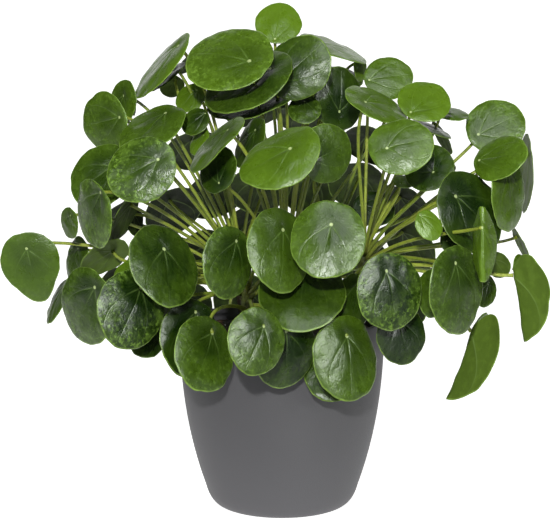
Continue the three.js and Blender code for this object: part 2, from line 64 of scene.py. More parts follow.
def new_object(name, data):
    made = bpy.data.objects.new(name, data)
    scene.collection.objects.link(made)
    return made


def aim(made, place, target):
    made.location = place
    made.rotation_euler = (Vector(target) - Vector(place)).to_track_quat("-Z", "Y").to_euler()


camera_data = bpy.data.cameras.new("camera")
camera_data.sensor_fit = "HORIZONTAL"
camera_data.sensor_width = FILM_WIDTH
camera_data.lens = FOCAL_LENGTH
camera_data.shift_x = -POT_RIGHT_OF_MIDDLE / PICTURE_WIDTH
scene.camera = new_object("camera", camera_data)
aim(scene.camera, VIEW_FROM, VIEW_TO)


def soft_light(name, place, target, width, depth, watts, colour):
    data = bpy.data.lights.new(name, "AREA")
    data.shape = "RECTANGLE"
    data.size, data.size_y = width, depth
    data.energy = watts
    data.color = colour
    light = new_object(name, data)
    aim(light, place, target)
    return light


front_lamp = soft_light("front lamp", (-0.15, -2.8, 1.15), LIT_PLACE, 0.1, 0.1, 77, (1, 1, 0.97))
front_lamp.visible_glossy = False
for panel_name, panel_place, side, watts in (("left panel", (-1.25, -1.3, 0.75), 0.6, 4),
                                             ("front panel", (-0.15, -2.7, 1.15), 0.4, 50),
                                             ("right panel", (1.0, -1.5, 0.75), 0.8, 34)):
    panel = soft_light(panel_name, panel_place, LIT_PLACE, side, side, watts, (0.97, 1, 0.97))
    panel.visible_diffuse = False
soft_light("softbox", (0.12, -1.25, 1.68), SOFTBOX_AIM, 1.1, 0.8, 14, (0.94, 0.98, 1))


def feed(node, inputs):
    """Gives each named input its value, or links it to the socket that stands in its place."""
    for name, value in inputs.items():
        socket = node.inputs[name]
        if isinstance(value, bpy.types.NodeSocket):
            node.id_data.links.new(value, socket)
        else:
            socket.default_value = value


def place_node(tree, kind, inputs=None, **settings):
    """Places one shader node, with its settings and what feeds it."""
    made = tree.nodes.new(kind)
    for name, value in settings.items():
        setattr(made, name, value)
    feed(made, inputs or {})
    return made


def reckon(operation, *values, clamp=False):
    """One step of arithmetic on sockets and numbers, and its result."""
    tree = next(value for value in values if isinstance(value, bpy.types.NodeSocket)).id_data
    return place_node(tree, "ShaderNodeMath", dict(enumerate(values)), operation=operation,
                      use_clamp=clamp).outputs[0]


times = partial(reckon, "MULTIPLY")
times_plus = partial(reckon, "MULTIPLY_ADD")


def ramp(value, start, end, **settings):
    """How far a value has come from start to end, 0 to 1."""
    inputs = {"Value": value, "From Min": start, "From Max": end}
    return place_node(value.id_data, "ShaderNodeMapRange", inputs, **settings).outputs[0]


def split(triple):
    """The three numbers of a place or of a named value."""
    return place_node(triple.id_data, "ShaderNodeSeparateXYZ", {0: triple}).outputs


def new_finish(name):
    """A material, its surface shader and the place on the piece, in metres."""
    material = bpy.data.materials.new(name)
    material.use_nodes = True
    tree = material.node_tree
    place = place_node(tree, "ShaderNodeTexCoord").outputs["Object"]
    return material, tree.nodes["Principled BSDF"], place


world = bpy.data.worlds.new("white room")
world.use_nodes = True
feed(world.node_tree.nodes["Background"], {"Color": (0.93, 0.97, 1, 1), "Strength": 0.05})
scene.world = world

SWEEP_WIDTH = 12
SWEEP_HEIGHT = 8
SWEEP_FRONT, SWEEP_BACK = -4, 4
SWEEP_CURVE, SWEEP_CURVE_STEPS = 1.6, 24
GLOW_FRONT = (-0.28, -0.04)
GLOW_SIDES = (1.4, 0.36)
GLOW_SPREAD = 0.45
GLOW_STRENGTH = 0.98
sweep_line = [(SWEEP_FRONT, 0)]
for step in range(SWEEP_CURVE_STEPS + 1):
    turn = math.pi / 2 * step / SWEEP_CURVE_STEPS
    sweep_line.append((SWEEP_BACK + SWEEP_CURVE * math.sin(turn),
                       SWEEP_CURVE * (1 - math.cos(turn))))
sweep_line.append((SWEEP_BACK + SWEEP_CURVE, SWEEP_HEIGHT))
sweep_mesh = bpy.data.meshes.new("sweep")
sweep_mesh.from_pydata(
    [(side * SWEEP_WIDTH / 2, y, z) for y, z in sweep_line for side in (-1, 1)],
    [],
    [(2 * k, 2 * k + 1, 2 * k + 3, 2 * k + 2) for k in range(len(sweep_line) - 1)],
)
sweep_mesh.shade_smooth()
sweep = new_object("sweep", sweep_mesh)
light_sheet, sheet_surface, sheet_place = new_finish("light-table sheet")
sheet_x, sheet_y, _ = split(sheet_place)
glow_reach = times_plus(sheet_y, -GLOW_SPREAD, reckon("ABSOLUTE", sheet_x))
glow = times(ramp(sheet_y, *GLOW_FRONT), ramp(glow_reach, *GLOW_SIDES))
feed(sheet_surface, {"Base Color": (0.6, 0.6, 0.6, 1), "Roughness": 0.9, "Emission Color": glow,
                     "Emission Strength": GLOW_STRENGTH})
sweep_mesh.materials.append(light_sheet)


# Pot: one injection-moulded shell of charcoal polypropylene, matt, with a rounded lower
# corner, a wall that swells a little and a thin rounded rim.
POT_HEIGHT = 169
RIM_RADIUS = 91.5
BASE_RADIUS = 49
CORNER_RADIUS, CORNER_HEIGHT = 69, 20
CORNER_PULL = 64
WALL_BULGE = (12.9, -6.5)
WALL_THICKNESS = 3
RIM_ROUND = 1.4
CORNER_STEPS, WALL_STEPS, RIM_STEPS = 10, 28, 4
WALL_END = POT_HEIGHT - RIM_ROUND - 1
FLOOR_THICKNESS = 4
POT_SIDES = 144


def bow(start, pull, end, steps):
    """Points of a curve from start to end that is drawn towards pull."""
    share = np.linspace(0, 1, steps + 1)[:, None]
    start, pull, end = (np.array(point, float) for point in (start, pull, end))
    return (1 - share) ** 2 * start + 2 * share * (1 - share) * pull + share ** 2 * end


def pot_wall(inset, floor, top):
    """The wall's line below a height, from the floor up, this far inside the outer face."""
    corner = bow((BASE_RADIUS - inset, floor), (CORNER_PULL - inset, floor),
                 (CORNER_RADIUS - inset, CORNER_HEIGHT), CORNER_STEPS)
    middle = ((CORNER_RADIUS + RIM_RADIUS) / 2 + WALL_BULGE[0] - inset,
              (CORNER_HEIGHT + POT_HEIGHT) / 2 + WALL_BULGE[1])
    wall = bow((CORNER_RADIUS - inset, CORNER_HEIGHT), middle, (RIM_RADIUS - inset, POT_HEIGHT),
               WALL_STEPS)
    line = np.vstack([corner, wall[1:]])
    return line[line[:, 1] < top]


def spun(name, profile, sides):
    """A closed mesh spun round the upright axis from (radius, height) points in millimetres."""
    mesh = bpy.data.meshes.new(name)
    shape = bmesh.new()
    turns = [2 * math.pi * k / sides for k in range(sides)]
    rings = [[
        shape.verts.new((radius * math.cos(t) / 1000, radius * math.sin(t) / 1000, height / 1000))
        for t in (turns if radius else turns[:1])
    ] for radius, height in profile]
    for low, high in zip(rings, rings[1:]):
        for k in range(sides):
            corners = (low[k % len(low)], low[(k + 1) % len(low)],
                       high[(k + 1) % len(high)], high[k % len(high)])
            shape.faces.new(list(dict.fromkeys(corners)))
    shape.to_mesh(mesh)
    shape.free()
    mesh.shade_smooth()
    return mesh


rim_turns = np.linspace(0, math.pi / 2, RIM_STEPS + 1)
rim_outside = [(RIM_RADIUS - RIM_ROUND + RIM_ROUND * math.cos(t),
                POT_HEIGHT - RIM_ROUND + RIM_ROUND * math.sin(t)) for t in rim_turns]
rim_inside = [(RIM_RADIUS - WALL_THICKNESS + RIM_ROUND - RIM_ROUND * math.sin(t),
               POT_HEIGHT - RIM_ROUND + RIM_ROUND * math.cos(t)) for t in rim_turns]
pot_profile = [(0, 0), *pot_wall(0, 0, WALL_END), *rim_outside, *rim_inside[1:],
               *pot_wall(WALL_THICKNESS, FLOOR_THICKNESS, WALL_END)[::-1], (0, FLOOR_THICKNESS)]
pot_mesh = spun("pot_shell", pot_profile, POT_SIDES)
pot_shell = new_object("pot_shell", pot_mesh)


def blend_colours(share, first, second, strength=1):
    """The first colour, turned towards the second by a share of this strength."""
    if strength != 1:
        share = times(share, strength)
    return place_node(share.id_data, "ShaderNodeMix", {0: share, 6: first, 7: second},
                      data_type="RGBA").outputs[2]


def roughen(surface, height, strength, distance):
    """Lets a height that changes over the surface tilt its normal."""
    bump = place_node(surface.id_data, "ShaderNodeBump",
                      {"Height": height, "Strength": strength, "Distance": distance})
    feed(surface, {"Normal": bump.outputs[0]})


def new_group(name, numbers, masks):
    """A shader group that takes a place and some numbers, and puts out masks."""
    group = bpy.data.node_groups.new(name, "ShaderNodeTree")
    group.interface.new_socket("Place", in_out="INPUT", socket_type="NodeSocketVector")
    for label, value in numbers.items():
        number = group.interface.new_socket(label, in_out="INPUT", socket_type="NodeSocketFloat")
        number.default_value = value
    for label in masks:
        group.interface.new_socket(label, in_out="OUTPUT", socket_type="NodeSocketFloat")
    return group, group.nodes.new("NodeGroupInput").outputs, group.nodes.new("NodeGroupOutput")


# Soft-edged patches of a noise, for the uneven tone that every surface here has.
patches, patches_in, patches_out = new_group(
    "patches", {"Scale": 10, "Threshold": 0.5, "Softness": 0.15}, ["Mask"])
patches_noise = place_node(patches, "ShaderNodeTexNoise", {
    "Vector": patches_in["Place"], "Scale": patches_in["Scale"], "Detail": 3, "Roughness": 0.6})
patches_low = reckon("SUBTRACT", patches_in["Threshold"], patches_in["Softness"])
patches_high = reckon("ADD", patches_in["Threshold"], patches_in["Softness"])
feed(patches_out, {"Mask": ramp(patches_noise.outputs[0], patches_low, patches_high,
                                interpolation_type="SMOOTHSTEP")})


def patchy(place, scale, threshold=0.5, softness=0.15):
    inputs = {"Place": place, "Scale": scale, "Threshold": threshold, "Softness": softness}
    return place_node(place.id_data, "ShaderNodeGroup", inputs, node_tree=patches).outputs["Mask"]


pot_plastic, pot_surface, pot_place = new_finish("charcoal moulded plastic")
pot_cloud = patchy(pot_place, 9, softness=0.3)
pot_grain = patchy(pot_place, 1100, softness=0.35)
pot_share = times_plus(pot_grain, 0.35, times(pot_cloud, 0.65))
feed(pot_surface, {
    "Base Color": blend_colours(pot_share, (0.059, 0.057, 0.063, 1), (0.071, 0.069, 0.075, 1)),
    "Roughness": times_plus(pot_cloud, 0.1, 0.56),
})
roughen(pot_surface, pot_grain, 0.25, 0.00025)
pot_mesh.materials.append(pot_plastic)
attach(pot_shell, "root")
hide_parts("pot")


# Soil: dark moist potting compost, mounded a little in the middle, with fibres, crumbs of
# bark and a few white grains of perlite pressed into the top.
SOIL_SEED = 41
SOIL_EDGE_HEIGHT = 157
SOIL_MOUND = 5
SOIL_CLEARANCE = 0.4
SOIL_SIDE_SLACK = 0.2
SOIL_SIDES = 120
SOIL_RINGS = 34
SOIL_HILLS = ((0.9, 15), (0.55, 5))
SMOOTH_EDGE, SMOOTH_DEPTH, SMOOTH_FADE = 4, 0.5, 0.6
CRUMBS = 260
CRUMB_JITTER = 0.18
CRUMB_RISE = 0.4
PERLITE_EVERY = 5
# Radii, stretches and finish of the two kinds of crumb.
BARK_CRUMB = ((1.0, 3.2), (0.35, 1.4), 1)
PERLITE_GRAIN = ((0.8, 1.7), (0.6, 1.1), 2)

soil_draw = np.random.RandomState(SOIL_SEED)
soil_levels = pot_wall(WALL_THICKNESS, FLOOR_THICKNESS, SOIL_EDGE_HEIGHT)
soil_edge = soil_levels[-1][0] - SOIL_CLEARANCE
soil_shares = [1 - ring / SOIL_RINGS for ring in range(1, SOIL_RINGS)]
soil_profile = [
    (0, FLOOR_THICKNESS + SOIL_CLEARANCE),
    *((radius - SOIL_CLEARANCE - SOIL_SIDE_SLACK, height + SOIL_CLEARANCE)
      for radius, height in soil_levels),
    *((soil_edge * share, SOIL_EDGE_HEIGHT + SOIL_MOUND * (1 - share ** 2))
      for share in soil_shares),
    (0, SOIL_EDGE_HEIGHT + SOIL_MOUND),
]
soil_mesh = spun("soil_fill", soil_profile, SOIL_SIDES)


def rolling(points, draw, wavelength, waves=7):
    """Gentle random hills: the sum of a few waves in random directions, about -1 to 1."""
    total = np.zeros(len(points))
    for _ in range(waves):
        way = draw.normal(size=points.shape[1])
        way *= 2 * math.pi / (wavelength * draw.uniform(0.7, 1.4) * np.linalg.norm(way))
        total += np.sin(points @ way + draw.uniform(0, 2 * math.pi))
    return total / math.sqrt(waves)


soil_points = np.array([vertex.co for vertex in soil_mesh.vertices]) * 1000
soil_away = np.hypot(soil_points[:, 0], soil_points[:, 1])
on_top = np.clip((soil_points[:, 2] - SOIL_EDGE_HEIGHT + SMOOTH_DEPTH) / SMOOTH_FADE, 0, 1)
on_top *= np.clip((soil_edge - soil_away) / SMOOTH_EDGE, 0, 1)
soil_points[:, 2] += on_top * sum(height * rolling(soil_points[:, :2], soil_draw, wavelength)
                                  for height, wavelength in SOIL_HILLS)
soil_mesh.vertices.foreach_set("co", (soil_points / 1000).ravel())


def soil_height(x, y):
    away = math.hypot(x, y) / soil_edge
    return SOIL_EDGE_HEIGHT + SOIL_MOUND * (1 - away * away)


crumb_shape = bmesh.new()
crumb_shape.from_mesh(soil_mesh)
for number in range(CRUMBS):
    sizes, stretches, finish = BARK_CRUMB if number % PERLITE_EVERY else PERLITE_GRAIN
    size = soil_draw.uniform(*sizes)
    turn = soil_draw.uniform(0, 2 * math.pi)
    away = (soil_edge - SMOOTH_EDGE) * math.sqrt(soil_draw.uniform(0, 1))
    x, y = away * math.cos(turn), away * math.sin(turn)
    made = bmesh.ops.create_icosphere(crumb_shape, subdivisions=1, radius=size / 1000)["verts"]
    stretch = Vector(soil_draw.uniform(*stretches, 3))
    for vertex in made:
        jitter = 1 + soil_draw.uniform(-CRUMB_JITTER, CRUMB_JITTER)
        vertex.co = Vector(a * b * jitter for a, b in zip(vertex.co, stretch))
        vertex.co += Vector((x, y, soil_height(x, y) + CRUMB_RISE * size)) / 1000
    for face in {face for vertex in made for face in vertex.link_faces}:
        face.material_index = finish
        face.smooth = False
crumb_shape.to_mesh(soil_mesh)
crumb_shape.free()
soil_fill = new_object("soil_fill", soil_mesh)

compost, compost_surface, compost_place = new_finish("moist compost")
compost_crumbs = place_node(compost.node_tree, "ShaderNodeTexVoronoi",
                            {"Scale": 420, "Vector": compost_place})
compost_tone = blend_colours(patchy(compost_place, 90, softness=0.2),
                             (0.010, 0.0075, 0.006, 1), (0.040, 0.026, 0.017, 1))
compost_fibres = patchy(compost_place, 520, 0.63, 0.05)
feed(compost_surface, {
    "Base Color": blend_colours(compost_fibres, compost_tone, (0.11, 0.075, 0.045, 1), 0.6),
    "Roughness": 0.9,
})
roughen(compost_surface, compost_crumbs.outputs["Distance"], 0.9, 0.0012)


def two_tone(name, scale, dark, light, roughness):
    """A matt finish in two tones, in patches of this scale."""
    material, surface, place = new_finish(name)
    feed(surface, {"Base Color": blend_colours(patchy(place, scale), dark, light),
                   "Roughness": roughness})
    return material


bark_crumb = two_tone("bark crumb", 260, (0.022, 0.013, 0.008, 1), (0.075, 0.042, 0.022, 1), 0.85)
perlite = two_tone("perlite", 700, (0.62, 0.61, 0.57, 1), (0.85, 0.85, 0.83, 1), 0.95)
for finish in (compost, bark_crumb, perlite):
    soil_mesh.materials.append(finish)
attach(soil_fill, "root")
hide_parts("soil")


# Woody stems: six short grey-brown trunks, each ringed with the scars of leaves that have
# dropped. They stand in the soil and end at a crown, where the living leaves start.
STEM_SEED = 7
STEM_RADIUS = 4.9
STEM_SIDES = 28
STEM_STEPS = 70
STEM_RIDGES = 3
STEM_RIDGE_HEIGHT = 0.22
STEM_DEPTH_IN_SOIL = 22
STEM_UPRIGHT_SHARE = 0.4
SCARS = 12
FIRST_SCAR, SCAR_SPACING, SCAR_TURN, SCAR_STRAY = 0.06, 0.075, 2.4, 0.3
SCAR_LENGTH, SCAR_SPREAD = 0.016, 0.55
SCAR_RING, SCAR_BUMP = 0.2, 0.75
# Each stem's foot on the soil in x and y, and its crown in x, y and z.
STEMS = {
    "left": ((-22, 2), (-32, -8, 188)),
    "front": ((-20, -36), (-30, -46, 173)),
    "top": ((8, 6), (4, 14, 200)),
    "right": ((50, -10), (72, -22, 208)),
    "back_left": ((-28, 40), (-38, 52, 190)),
    "back_right": ((34, 44), (42, 58, 194)),
}


def vector(*values):
    return np.array(values, float)


def unit(way):
    return way / np.linalg.norm(way)


def turns_round(sides):
    return 2 * math.pi * np.arange(sides) / sides


def hump(away, width):
    """1 in the middle, falling softly to 0 at a few widths from it."""
    return np.exp(-((away / width) ** 2))


def cubic(start, first, second, end, shares):
    """Points at these shares of a curve that leaves start towards first and comes to end from
    second."""
    shares = shares[:, None]
    rest = 1 - shares
    return (rest ** 3 * start + 3 * rest ** 2 * shares * first + 3 * rest * shares ** 2 * second
            + shares ** 3 * end)


def tube(path, radii, sides):
    """A closed round tube along a path. Its radii are one row for each point of the path, with
    one value or one for each side. Gives points, faces, and each point's share of the length
    and its turn."""
    steps = len(path)
    forward = np.gradient(path, axis=0)
    across = unit(np.cross(forward[0], (0.3, 1, 0.1)))
    rings = []
    turns = turns_round(sides)
    for k in range(steps):
        way = unit(forward[k])
        across = unit(across - way * (across @ way))
        up = np.cross(way, across)
        ring = np.outer(np.cos(turns), across) + np.outer(np.sin(turns), up)
        rings.append(path[k] + ring * np.broadcast_to(radii[k], (sides,))[:, None])
    points = np.vstack([*rings, path[:1], path[-1:]])
    faces = []
    for k in range(steps - 1):
        for j in range(sides):
            low, after = k * sides + j, k * sides + (j + 1) % sides
            faces.append((low, after, after + sides, low + sides))
    last = (steps - 1) * sides
    for j in range(sides):
        after = (j + 1) % sides
        faces.append((steps * sides, after, j))
        faces.append((steps * sides + 1, last + j, last + after))
    shares = np.repeat(np.linspace(0, 1, steps), sides)
    place = np.column_stack([np.append(shares, (0, 1)), np.append(np.tile(turns, steps), (0, 0))])
    return points, faces, place


def join_up(name, parts, finishes):
    """One mesh object from parts, each (points in mm, faces, one finish number or one for each
    face, named values for each point)."""
    points, faces, finish_numbers, values = [], [], [], {}
    count = 0
    for part_points, part_faces, finish, part_values in parts:
        points.append(part_points)
        faces.extend(tuple(corner + count for corner in face) for face in part_faces)
        finish_numbers.extend(np.broadcast_to(finish, (len(part_faces),)).tolist())
        for key, value in part_values.items():
            values.setdefault(key, []).append(np.broadcast_to(value, (len(part_points), 3)))
        count += len(part_points)
    mesh = bpy.data.meshes.new(name)
    mesh.from_pydata((np.vstack(points) / 1000).tolist(), [], faces)
    for finish in finishes:
        mesh.materials.append(finish)
    mesh.polygons.foreach_set("material_index", finish_numbers)
    for key, value in values.items():
        layer = mesh.attributes.new(key, "FLOAT_VECTOR", "POINT")
        layer.data.foreach_set("vector", np.vstack(value).ravel())
    mesh.shade_smooth()
    made = new_object(name, mesh)
    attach(made, "root")
    return made


bark, bark_surface, bark_place = new_finish("grey-brown bark")
bark_tone = blend_colours(patchy(bark_place, 160, softness=0.25),
                          (0.060, 0.034, 0.018, 1), (0.170, 0.110, 0.062, 1))
bark_flecks = patchy(bark_place, 600, 0.6, 0.06)
feed(bark_surface, {
    "Base Color": blend_colours(bark_flecks, bark_tone, (0.26, 0.21, 0.14, 1), 0.5),
    "Roughness": 0.8,
})
bark_ridges = place_node(bark.node_tree, "ShaderNodeTexNoise",
                         {"Scale": 420, "Detail": 4, "Vector": bark_place})
roughen(bark_surface, bark_ridges.outputs[0], 0.8, 0.0008)

stem_draw = np.random.RandomState(STEM_SEED)
stem_shares = np.linspace(0, 1, STEM_STEPS)
stem_turns = turns_round(STEM_SIDES)
for stem_name, (foot, crown) in STEMS.items():
    bottom = SOIL_EDGE_HEIGHT - STEM_DEPTH_IN_SOIL
    rise = vector(0, 0, (crown[2] - bottom) * STEM_UPRIGHT_SHARE)
    start, end = vector(*foot, bottom), vector(*crown)
    stem_path = cubic(start, start + rise, end - rise, end, stem_shares)
    stem_radii = np.full((STEM_STEPS, STEM_SIDES), STEM_RADIUS)
    stem_radii += STEM_RIDGE_HEIGHT * np.sin(STEM_RIDGES * stem_turns + stem_draw.uniform(0, 6))
    for number in range(SCARS):
        scar_turn = SCAR_TURN * number + stem_draw.uniform(-SCAR_STRAY, SCAR_STRAY)
        along_scar = hump(stem_shares - (FIRST_SCAR + SCAR_SPACING * number), SCAR_LENGTH)[:, None]
        round_scar = hump(np.angle(np.exp(1j * (stem_turns - scar_turn))), SCAR_SPREAD)
        stem_radii += along_scar * (SCAR_RING + SCAR_BUMP * round_scar)
    points, faces, _ = tube(stem_path, stem_radii, STEM_SIDES)
    woody_stem = join_up(f"woody_stem_{stem_name}", [(points, faces, 0, {})], [bark])
    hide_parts(f"stem_{stem_name}")


# Leaves: 114 round green blades on stalks, which turn to the light all over a rounded heap.
# 79 stand as the front view shows them, and 35 fill the back, which that view hides.

# The front view's leaves by stem, on the upright plane through the pot's axis: the middle in
# x and z, the depth behind the plane, half the long axis and half the short one, below zero
# where the underside is seen, the way the upper face leans in degrees from +x, the hub from
# the middle in x and z, how light the green is and how mottled, 0 to 1. How light is partly
# the leaf's own tone and partly painted light: painted shade on leaves that lie in shadow and
# painted sheen on leaves that gleam. Then, where they aren't as front_leaf has them: the fold
# of each half about the midrib and the bend along it in degrees, and how far the tip stands
# out and how far the rim is drawn in behind the hub, in radii.
FRONT_LEAVES = {
    "top": [
        (-3, 433, 0, 21, 18.3, 90, -3, -15, 0.95, 0.2, 14),
        (-47, 403, -85, 39, 27.5, 102, 18, -4, 0.5, 0.8, 12),
        (-31, 384, -68, 41, 22.3, 113, 20, 8, 0.2, 0.3, 10),
        (13, 394, -56, 30, 28, 135, -14, -13, 0.2, 0.3, 24, 6),
        (-28, 369, -42, 38, 17, 100, 22, 4, 0.12, 0.1, 8, 6),
        (-82, 398, 5, 12, -5.4, 130, 5, 5, 0.2, 0.1),
        (46, 412, -5, 31, 7.6, 72, -11, 2, 0.7, 0.1, 6, 10),
        (70, 392, 15, 11, 5.4, 10, 0, 6, 0.8, 0.4),
        (52, 386, 14, 20, 9.8, 80, -10, -2, 0.2, 0.2),
        (20, 357, -46, 15, 11.6, 90, 0, 6, 0.2, 0.5),
        (52, 365, -22, 27, 22.3, 0, -1, -11, 0.1, 0.1, 12),
        (41, 317, -120, 27, 23.2, 0, -13, -6, 0.3, 0.3, 14),
        (-3, 317, -145, 37, 25, 116, 10, 5, 0.65, 0.3, 26, 6),
        (-60, 328, -120, 32, 8.9, 132, 12, 10, 0.5, 0.2),
        (-30, 328, -85, 23, 10.7, 150, 6, 10, 0.2, 0.1),
        (-58, 303, -100, 21, 16.1, 160, 2, -12, 0.12, 0.1),
    ],
    "left": [
        (-108, 397, -35, 35, 8.6, 136, 16, 15, 0.7, 0.2, 10),
        (-101, 386, -25, 18, 4, 127, 8, 6, 0.1, 0, 6, 6),
        (-97, 377, 5, 11, -8.9, 90, 3, 5, 0.4, 0),
        (-74, 328, -60, 13, 7.1, 150, 5, 5, 0.95, 0.3),
        (-81, 367, -22, 14, 11.2, 120, 6, 6, 0.7, 0.3, 10),
        (-77, 346, -65, 13, 10.7, 120, 10, 7, 0.2, 0.2, 10),
        (-159, 345, -46, 27, 20.5, 187, 15, 4, 0.4, 0.6, 12),
        (-142, 362, -25, 20, 11.6, 170, 2, 6, 0.35, 0.5, 10),
        (-132, 365, -10, 14, -4.1, 11, -2, 6, 0.4, 0.1, 6, 6),
        (-116, 342, -80, 32, 14.7, 112, 13, 11, 0.4, 0.4),
        (-125, 304, -132, 31, 29, 120, 15, 8, 0.22, 1, 14),
        (-162, 298, -75, 30, 25, 140, 11, 8, 0.25, 0.3),
        (-171, 263, -100, 31, 17.4, 187, 9, 19, 0.3, 1, 10),
        (-190, 255, -55, 14, 7.6, 187, 2, 7, 0.35, 0.2, 6, 6),
        (-225, 220, -55, 27, 25.8, 250, -3, 12, 0.4, 0.2, 8, 8, 0.5),
        (-159, 226, -65, 23, -12.9, 115, 8, 4, 0.5, 0.1),
        (-185, 222, 0, 21, 9.8, 170, 3, 10, 0.35, 0),
        (-202, 186, -20, 21, 5.8, 152, 6, 11, 0.4, 0, 8, 6),
        (-142, 261, -65, 22, -7.1, 145, 7, 11, 0.25, 0.1),
        (-132, 257, -25, 13, -8, 180, 0, 6, 0.05, 0),
        (-177, 180, -80, 35, 24, 190, 9, 17, 0.2, 0.5),
        (-133, 178, -130, 35, 29, 15, 7, 19, 0.05, 0.9, 12),
        (-103, 219, -125, 38, 27.2, 36, -2, 13, 0.15, 0.3, 10),
        (-137, 210, -100, 15, 11.6, 120, 6, 5, 0.7, 0.3),
        (-80, 152, -104, 34, 25.9, 10, 3, 23, 0, 0),
        (-121, 158, -85, 24, 16.1, 20, 4, 10, 0.05, 0.1),
    ],
    "front": [
        (-45, 220, -150, 32, 21.9, 8, 5, 19, 0.2, 0.5, 12),
        (1, 232, -140, 37, 27.2, 20, 0, 17, 0.35, 0.3, 16),
        (41, 242, -155, 35, 33, 90, 3, 12, 0.35, 0.4, 16),
        (18, 196, -120, 40, 31.2, 90, 3, 21, 0.2, 0.2, 10),
        (-21, 149, -165, 30, 25, 15, 5, 13, 0.25, 0.6, 14),
        (-67, 138, -120, 34, 25, 20, 5, 18, 0.25, 0.5, 10),
        (5, 138, -125, 33, 27.7, 335, -1, 19, 0.03, 0.2, 12),
        (61, 134, -128, 37, 29.5, 12, -2, 19, 0.3, 0.3, 22, 6),
        (46, 122, -104, 27, 25, 90, 2, 15, 0.1, 0.2),
    ],
    "right": [
        (67, 186, -100, 23, 17, 10, 2, 16, 0.15, 0.1),
        (84, 362, -80, 29, 12.6, 65, -10, 1, 0.6, 0.4, 6),
        (94, 385, -40, 21, 18.8, 90, -17, -3, 0.5, 0.2, 12),
        (126, 365, -70, 24, 18.8, 80, -12, -11, 0.85, 0.3, 10),
        (149, 354, -30, 16, 6.2, 85, -9, -1, 0.4, 0.2),
        (133, 340, -50, 18, 3.2, 70, -10, 4, 0.15, 0.1, 4, 6),
        (143, 332, -5, 16, -4, 35, -7, 11, 0.4, 0.2, 6, 6),
        (105, 325, -125, 28, 25.4, 100, -12, -3, 0.5, 0.4, 16),
        (130, 305, -75, 23, 19.6, 120, 4, -4, 0.12, 0.2),
        (82, 269, 10, 18, 16.1, 90, -12, 2, 0, 0),
        (132, 254, -130, 14, 11.6, 45, -9, 8, 1, 0.2, 18, 10),
        (109, 293, -65, 10, 6.2, 90, -4, -3, 0.8, 0.7),
        (98, 194, -145, 34, 29.5, 5, -4, 18, 0.05, 0.9, 10),
        (108, 154, -115, 25, 22.3, 0, -4, 13, 0, 0.1, 8, 8, 0.1),
        (136, 192, -85, 21, 12.5, 10, 2, 10, 0.3, 0.3),
        (160, 196, -130, 38, 24.6, 5, -4, 23, 0.25, 0.5, 12, 10, 0.1),
        (170, 266, -95, 38, 27.7, 25, -15, 13, 0.08, 0.1),
        (157, 240, -75, 18, 14.3, 30, -10, -1, 0.15, 0.2),
        (178.5, 236, -150, 29, 28.9, 180, 0, 15, 0.85, 0.3, 68, 6, 0.14, -0.12),
        (192, 315, -85, 25, 16.5, 132, -17, -4, 0.5, 0.4, 10),
        (189, 342, -20, 26, 24.5, 90, -15, -8, 0.45, 0.6, 10),
        (204, 282, -72, 33, 15.2, 5, -3, 19, 0.55, 0.4),
        (219, 300, 20, 34, -5.5, 2, 0, 16, 0.5, 0.1, 6, 6),
        (215, 235, -20, 18, -3.4, 28, -5, 8, 0.4, 0.1, 5, 6),
        (211, 192.5, -55, 40, -7.4, 10, -2.6, 15.8, 0.5, 0.3, -36, 2, 0.06, 0.5),
        (166, 141.5, -50, 44, -8, 341, 5.3, 15.2, 0.5, 0.3, -31, 2, 0.08, 0.55),
        (183, 194, -40, 14, 9.8, 0, 1, 6, 0.35, 0.1),
        (193, 218, -35, 12, -10.7, 60, -4, 5, 0.35, 0.1),
    ],
}

# The back's leaves by stem: x and z on the same plane, the depth behind it and the radius.
# They face outwards and up from the heap.
BACK_LEAVES = {
    "top": [
        (-42, 402, 20, 30), (-8, 388, 62, 29), (34, 386, 48, 27), (72, 362, 55, 28),
        (104, 346, 15, 27),
    ],
    "back_left": [
        (-24, 358, 108, 30), (-80, 322, 122, 29), (-20, 288, 150, 31), (-128, 322, 45, 28),
        (-60, 282, 165, 30), (-150, 256, 60, 28), (-25, 250, 185, 30), (-118, 218, 125, 29),
        (-70, 226, 175, 30), (-155, 190, 75, 28), (-36, 186, 165, 29), (-88, 178, 145, 29),
        (-120, 166, 95, 26), (-45, 150, 135, 27), (-97, 268, 112, 30),
    ],
    "back_right": [
        (22, 350, 118, 29), (80, 326, 125, 29), (24, 288, 182, 31), (132, 318, 50, 28),
        (68, 290, 160, 31), (176, 280, 35, 27), (24, 240, 185, 30), (112, 270, 125, 27),
        (72, 222, 170, 30), (158, 205, 75, 28), (22, 178, 168, 29), (108, 186, 130, 29),
        (112, 158, 92, 24), (62, 150, 135, 27), (116, 238, 108, 28),
    ],
}
BACK_WIDTH, BACK_DEPTH, BACK_HEIGHT, BACK_CENTRE = 232, 190, 205, 215
BACK_UPWARD = 0.55
BACK_SPIN = 0.6
BACK_HUB = 0.5
BACK_FOLD, BACK_ARCH, BACK_TIP = 10, 8, 0.04
# Back leaves get a random lightness up to this, kept low: painted shade for the dark inside of the
# heap.
BACK_PAINTED_SHADE_LIGHTNESS = 0.12
BACK_SEED = 23
DRAW_FACTOR, DRAW_STEP, DRAW_RANGE = 1664525, 1013904223, 4294967296
NEAREST_HUB, FURTHEST_HUB = 0.3, 0.86
EYE = vector(*VIEW_FROM) * 1000


def seeded_draw(seed):
    """Repeatable random numbers from 0 to 1."""
    state = seed
    while True:
        state = (state * DRAW_FACTOR + DRAW_STEP) % DRAW_RANGE
        yield state / DRAW_RANGE


def on_sight_line(x, z, depth):
    """The point at this depth that is seen at x and z on the plane, and how many times as far
    from the eye it lies."""
    further = (depth - EYE[1]) / -EYE[1]
    return EYE + (vector(x, 0, z) - EYE) * further, further


def new_leaf(hub, normal, tip, **measures):
    """A leaf by its hub, where the stalk joins, the way its face looks, the way its tip points,
    and its measures, of which share is how far the hub is from the middle, in radii."""
    return SimpleNamespace(hub=hub, normal=normal, tip=tip, side=np.cross(normal, tip), **measures)


